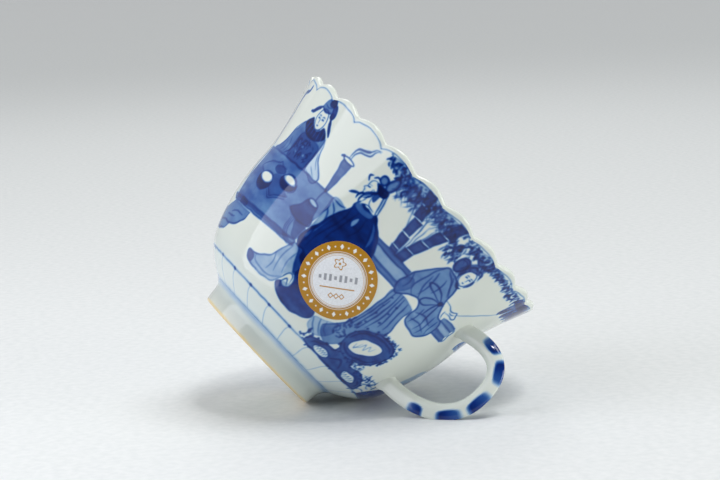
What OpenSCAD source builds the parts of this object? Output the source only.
// Handled porcelain teacup with a petal-moulded wall and a turned foot ring.
// All sizes are in millimetres. The cup stands on z = 0 with its axis on Z,
// and the handle points along +X.

/* [Bowl] */
// Diameter over the petal crests at the lip
rim_d = 85; // [78:0.2:110]
// Height of the petal crests above the resting face
cup_h = 61.4; // [52:0.1:80]
// Diameter of the wall at the waist
waist_d = 72.8; // [66:0.2:90]
// Height of the waist
waist_h = 37.5; // [30:0.5:45]
// Diameter where the underside turns up into the wall
shoulder_d = 61.2; // [52:0.2:70]
// Height where the underside turns up into the wall
shoulder_h = 14.6; // [12:0.2:18]
// Thickness of the lower wall
body_wall = 2.6; // [2:0.1:4]
// Thickness of the rounded lip
rim_wall = 1.8; // [1.2:0.1:3]
// Thickness of the floor inside the foot
floor_thick = 3.2; // [2:0.1:5]

/* [Petals] */
// Number of petals round the lip
petals = 24; // [12:1:30]
// Turn of the nearest petal crest away from the handle, in degrees
petal_turn = -1.3; // [-7:0.1:7]
// Depth of the valleys between petals at the lip
petal_depth = 0.9; // [0:0.1:1.5]
// Drop of the lip from a crest to a valley
petal_drop = 1.5; // [0:0.1:2]

/* [Foot ring] */
// Diameter of the foot ring at its resting face
foot_d = 38.1; // [30:0.1:48]
// Diameter of the foot ring where it meets the bowl
foot_top_d = 39.8; // [32:0.1:49]
// Height of the foot ring
foot_h = 5.5; // [3:0.1:8]
// Width of the resting face
foot_wall = 2.6; // [1.8:0.1:5]
// Bevel on the outer edge of the resting face
foot_bevel = 0.5; // [0.2:0.1:0.8]

/* [Handle] */
// Distance from the cup's axis to the outside of the handle
handle_reach = 55.3; // [50:0.1:68]
// Height of the upper joint
handle_top_h = 43; // [36:0.5:48]
// Height of the lower joint
handle_low_h = 19.4; // [17:0.2:26]
// Width of the handle strap, across the cup
handle_width = 4.6; // [3:0.1:8]
// Thickness of the handle strap
handle_thick = 3.1; // [2:0.1:5]
// Length of each luted joint between wall and handle
joint_len = 1.6; // [1:0.1:3]
// Spread of each luted joint where it meets the wall
joint_flare = 1.5; // [1.1:0.05:2]

/* [Label] */
// Diameter of the stuck-on paper label
label_d = 20; // [12:0.5:24]
// Diameter of the pale field inside the label's border
label_field_d = 14; // [8:0.5:18]
// Thickness of the label
label_thick = 0.14; // [0.1:0.02:0.3]
// Direction of the label round the cup, in degrees from the handle
label_turn = -60.3; // [-150:0.1:-40]
// Height of the label's centre
label_h = 27.8; // [24:0.1:40]

/* [Hidden] */

glaze = [0.90, 0.92, 0.90];
gold = [0.66, 0.48, 0.14];
paper = [0.90, 0.91, 0.94];

petal_steps = 6;                    // flats round one petal
around = petals * petal_steps;      // flats round the bowl
neck_lean = 63;                     // lean of the profile outwards from upright, degrees
shoulder_lean = 26;
waist_lean = 4;
lip_lean = 20;
steps_under = 4;                    // rings along the underside
steps_wall = 6;                     // rings along each half of the wall
lip_steps = 4;                      // rings over the rounded lip
floor_rings = 2;                    // rings across the inside floor
glue = 0.06;                        // layer under the label
strap_sides = 16;                   // sides of the handle strap
strap_steps = 20;                   // rings along each half of the handle
strap_power = 0.72;                 // squareness of the strap's section
cap_rings = 3;                      // rings closing a joint's face on the wall
label_sides = 48;
label_rings = 6;
border_rings = 4;
valley_round = 0.02;                // softens the valley between two petals
petal_onset = 8;                    // how late up the wall the petals deepen
floor_share = 0.8;                  // flat part of the inside floor
foot_inner_bevel = 0.3;
foot_inner_taper = 0.8;             // the ring's inside widens towards the bowl
strap_rise = 2;                     // rise of the strap's top over its upper joint
strap_mid_share = 0.62;             // height of the strap's outermost point, between its joints
low_corner_share = 0.38;            // how the lower half of the strap turns in
low_bow_share = 0.42;
strap_sag = 0.3;

// ---- curves ----

function bezier(a, b, c, d, t) =
    a * pow(1 - t, 3) + b * 3 * t * pow(1 - t, 2) + c * 3 * t * t * (1 - t) + d * pow(t, 3);

// A point at t along the curve that leaves a and reaches b at the given leans from upright.
function swell(a, lean_a, b, lean_b, t) =
    let (reach = norm(b - a) / 3)
    bezier(a, a + reach * [sin(lean_a), cos(lean_a)],
           b - reach * [sin(lean_b), cos(lean_b)], b, t);

neck = [foot_top_d / 2, foot_h];
shoulder = [shoulder_d / 2, shoulder_h];
waist = [waist_d / 2, waist_h];
// The lip's arc leans inwards, so its top stands a little over the end of the outer profile.
lip = [rim_d / 2, cup_h - rim_wall / 2 * (1 + sin(lip_lean))];

// The outer profile from the foot to the lip, as [radius, height].
outer_curve = concat(
    [for (i = [0 : steps_under - 1]) swell(neck, neck_lean, shoulder, shoulder_lean, i / steps_under)],
    [for (i = [0 : steps_wall - 1]) swell(shoulder, shoulder_lean, waist, waist_lean, i / steps_wall)],
    [for (i = [0 : steps_wall]) swell(waist, waist_lean, lip, lip_lean, i / steps_wall)]);
last_outer = len(outer_curve) - 1;

// Unit direction from the outer profile into the wall.
function inward(i) =
    let (a = outer_curve[max(i - 1, 0)], b = outer_curve[min(i + 1, last_outer)], d = b - a)
    [-d[1], d[0]] / norm(d);

function wall_at(z) =
    body_wall + (rim_wall - body_wall) * min(1, max(0, (z - foot_h) / (lip[1] - foot_h)));

inner_curve = [for (i = [last_outer : -1 : 1])
    outer_curve[i] + wall_at(outer_curve[i][1]) * inward(i)];
inner_end = inner_curve[len(inner_curve) - 1];
floor_top = foot_h + floor_thick;
floor_start = [inner_end[0] * floor_share, floor_top];

// The rounded lip runs from the outer profile over to the inner one.
lip_mid = (outer_curve[last_outer] + inner_curve[0]) / 2;
lip_curve = [for (i = [1 : lip_steps - 1])
    let (turn = 180 * i / lip_steps - lip_lean)
    lip_mid + rim_wall / 2 * [cos(turn), sin(turn)]];

// ---- petals ----

// 1 on a petal's crest and 0 in the valley between two petals.
function crest(a) =
    sqrt((pow(cos(petals * (a - petal_turn) / 2), 2) + valley_round) / (1 + valley_round));

// The petals start at the shoulder and are deepest at the lip.
function petal_share(z) = pow(min(1, max(0, (z - shoulder_h) / (cup_h - shoulder_h))), petal_onset);

function petal_point(p, a) =
    let (valley = (1 - crest(a)) * petal_share(p[1]),
         r = p[0] - petal_depth * valley)
    [r * cos(a), r * sin(a), p[1] - petal_drop * valley];

// Outer radius of the smooth profile at height z.
function profile_r(z) = lookup(z, [for (p = outer_curve) [p[1], p[0]]]);

// A point of the outer wall in direction a at height z, raised by lift.
function wall_point(a, z, lift = 0) =
    let (r = profile_r(z) - petal_depth * (1 - crest(a)) * petal_share(z) + lift)
    [r * cos(a), r * sin(a), z];

// The point of the outer wall beside the handle's plane: y across, z up.
function wall_beside(y, z, lift = 0) =
    let (r = profile_r(z) + lift)
    wall_point(asin(y / r), z, lift);

// ---- meshes from rings ----

// Closed skin over rings of n points each, with one point closing each end.
function ring_faces(rings, n) = concat(
    [for (k = [0 : rings - 2], i = [0 : n - 1])
        each let (a = k * n + i, b = k * n + (i + 1) % n)
        [[a, b, b + n], [a, b + n, a + n]]],
    [for (i = [0 : n - 1]) [rings * n, (i + 1) % n, i]],
    [for (i = [0 : n - 1]) [rings * n + 1, (rings - 1) * n + i, (rings - 1) * n + (i + 1) % n]]);

module skin(rings, n, first, last) {
    polyhedron(points = concat([for (ring = rings) each ring], [first, last]),
               faces = [for (f = ring_faces(len(rings), n)) [f[0], f[2], f[1]]], convexity = 8);
}

// ---- parts ----

module bowl() {
    profile = concat(outer_curve, lip_curve, inner_curve, [floor_start],
        [for (i = [floor_rings - 1 : -1 : 1]) [floor_start[0] * i / floor_rings, floor_top]]);
    color(glaze)
    skin([for (p = profile) [for (i = [0 : around - 1])
             petal_point(p, petal_turn + 360 * i / around)]],
         around, [0, 0, foot_h], [0, 0, floor_top]);
}

module foot_ring() {
    outer = foot_d / 2;
    inner = outer - foot_wall;
    color(glaze)
    rotate_extrude($fn = 128)
    polygon([[inner + foot_inner_bevel, 0], [outer - foot_bevel, 0], [outer, foot_bevel],
             [foot_top_d / 2, foot_h], [inner - foot_inner_taper, foot_h], [inner, foot_inner_bevel]]);
}

strap_mid_x = handle_reach - handle_thick / 2;
upper_root = [profile_r(handle_top_h) + joint_len, handle_top_h];
lower_root = [profile_r(handle_low_h) + joint_len, handle_low_h];
// The outermost point of the strap's middle line stands a little above half way.
strap_mid_h = handle_low_h + (handle_top_h - handle_low_h) * strap_mid_share;
top_bow = [(upper_root[0] + strap_mid_x) / 2, handle_top_h + strap_rise];
top_corner = [strap_mid_x, handle_top_h + strap_rise / 2];
low_corner = [strap_mid_x + strap_sag,
              handle_low_h + (strap_mid_h - handle_low_h) * low_corner_share];
low_bow = [strap_mid_x - (strap_mid_x - lower_root[0]) * low_bow_share,
           handle_low_h + strap_sag];

// The strap's middle line in the XZ plane, from the upper joint to the lower.
strap_line = concat(
    [for (i = [0 : strap_steps - 1])
        bezier(upper_root, top_bow, top_corner, [strap_mid_x, strap_mid_h], i / strap_steps)],
    [for (i = [0 : strap_steps])
        bezier([strap_mid_x, strap_mid_h], low_corner, low_bow, lower_root, i / strap_steps)]);
last_strap = len(strap_line) - 1;

// Direction of the strap at ring i; both ends leave the wall square to the axis.
function strap_run(i) =
    i == 0 ? [1, 0] : i == last_strap ? [-1, 0] :
    let (d = strap_line[i + 1] - strap_line[i - 1]) d / norm(d);

function squared(v) = sign(v) * pow(abs(v), strap_power);

// The strap's section as [across, outwards] offsets at side s.
function strap_section(s, grow = 1) =
    let (a = 360 * s / strap_sides)
    [handle_width / 2 * grow * squared(cos(a)), handle_thick / 2 * grow * squared(sin(a))];

function strap_ring(i) =
    let (run = strap_run(i), out = [-run[1], run[0]])
    [for (s = [0 : strap_sides - 1])
        let (q = strap_section(s), p = strap_line[i] + out * q[1])
        [p[0], q[0], p[1]]];

module handle() {
    ends = [strap_line[0], strap_line[last_strap]];
    color(glaze)
    skin([for (i = [0 : last_strap]) strap_ring(i)], strap_sides,
         [ends[0][0], 0, ends[0][1]], [ends[1][0], 0, ends[1][1]]);
}

// A collar of slip that flares from the strap's end onto the wall at height h.
module handle_joint(h) {
    end_x = profile_r(h) + joint_len;
    // Across the collar: 0 on the wall, 1 at the strap.
    function collar_ring(t) = [for (s = [0 : strap_sides - 1])
        let (q = strap_section(s, 1 + (joint_flare - 1) * pow(1 - t, 2)),
             base = wall_beside(q[0], h + q[1], glue / 2))
        [base[0] + (end_x - base[0]) * t, q[0], h + q[1]]];
    function cap_ring(share) = [for (s = [0 : strap_sides - 1])
        let (q = strap_section(s, joint_flare * share),
             base = wall_beside(q[0], h + q[1], glue / 2))
        [base[0], q[0], h + q[1]]];
    color(glaze)
    skin(concat([for (k = [1 : cap_rings]) cap_ring(k / cap_rings)],
                [for (k = [1 : cap_rings]) collar_ring(k / cap_rings)]),
         strap_sides, wall_beside(0, h, glue / 2), [end_x, 0, h]);
}

module upper_handle_joint() {
    handle_joint(handle_top_h);
}

module lower_handle_joint() {
    handle_joint(handle_low_h);
}

// A point of the label: distance from its centre, direction on the label, height over the wall.
function label_point(r, a, lift) =
    let (z = label_h + r * sin(a))
    wall_point(label_turn + r * cos(a) / profile_r(z) * 180 / PI, z, lift);

function label_ring(r, lift) =
    [for (i = [0 : label_sides - 1]) label_point(r, 360 * i / label_sides, lift)];

module label_field() {
    top = glue + label_thick;
    radii = [for (k = [1 : label_rings]) label_field_d / 2 * k / label_rings];
    color(paper)
    skin(concat([for (r = radii) label_ring(r, glue)],
                [for (k = [label_rings - 1 : -1 : 0]) label_ring(radii[k], top)]),
         label_sides, label_point(0, 0, glue), label_point(0, 0, top));
}

module label_border() {
    top = glue + label_thick;
    inner = label_field_d / 2;
    band = (label_d - label_field_d) / 2;
    radii = [for (k = [0 : border_rings]) inner + band * k / border_rings];
    rings = concat([for (r = radii) label_ring(r, glue)],
                   [for (k = [border_rings : -1 : 0]) label_ring(radii[k], top)]);
    count = len(rings);
    faces = [for (k = [0 : count - 1], i = [0 : label_sides - 1])
        each let (j = (i + 1) % label_sides, a = k * label_sides, b = ((k + 1) % count) * label_sides)
        [[a + i, b + j, a + j], [a + i, b + i, b + j]]];
    color(gold)
    polyhedron(points = [for (ring = rings) each ring], faces = faces, convexity = 4);
}

bowl();
foot_ring();
handle();
upper_handle_joint();
lower_handle_joint();
label_field();
label_border();
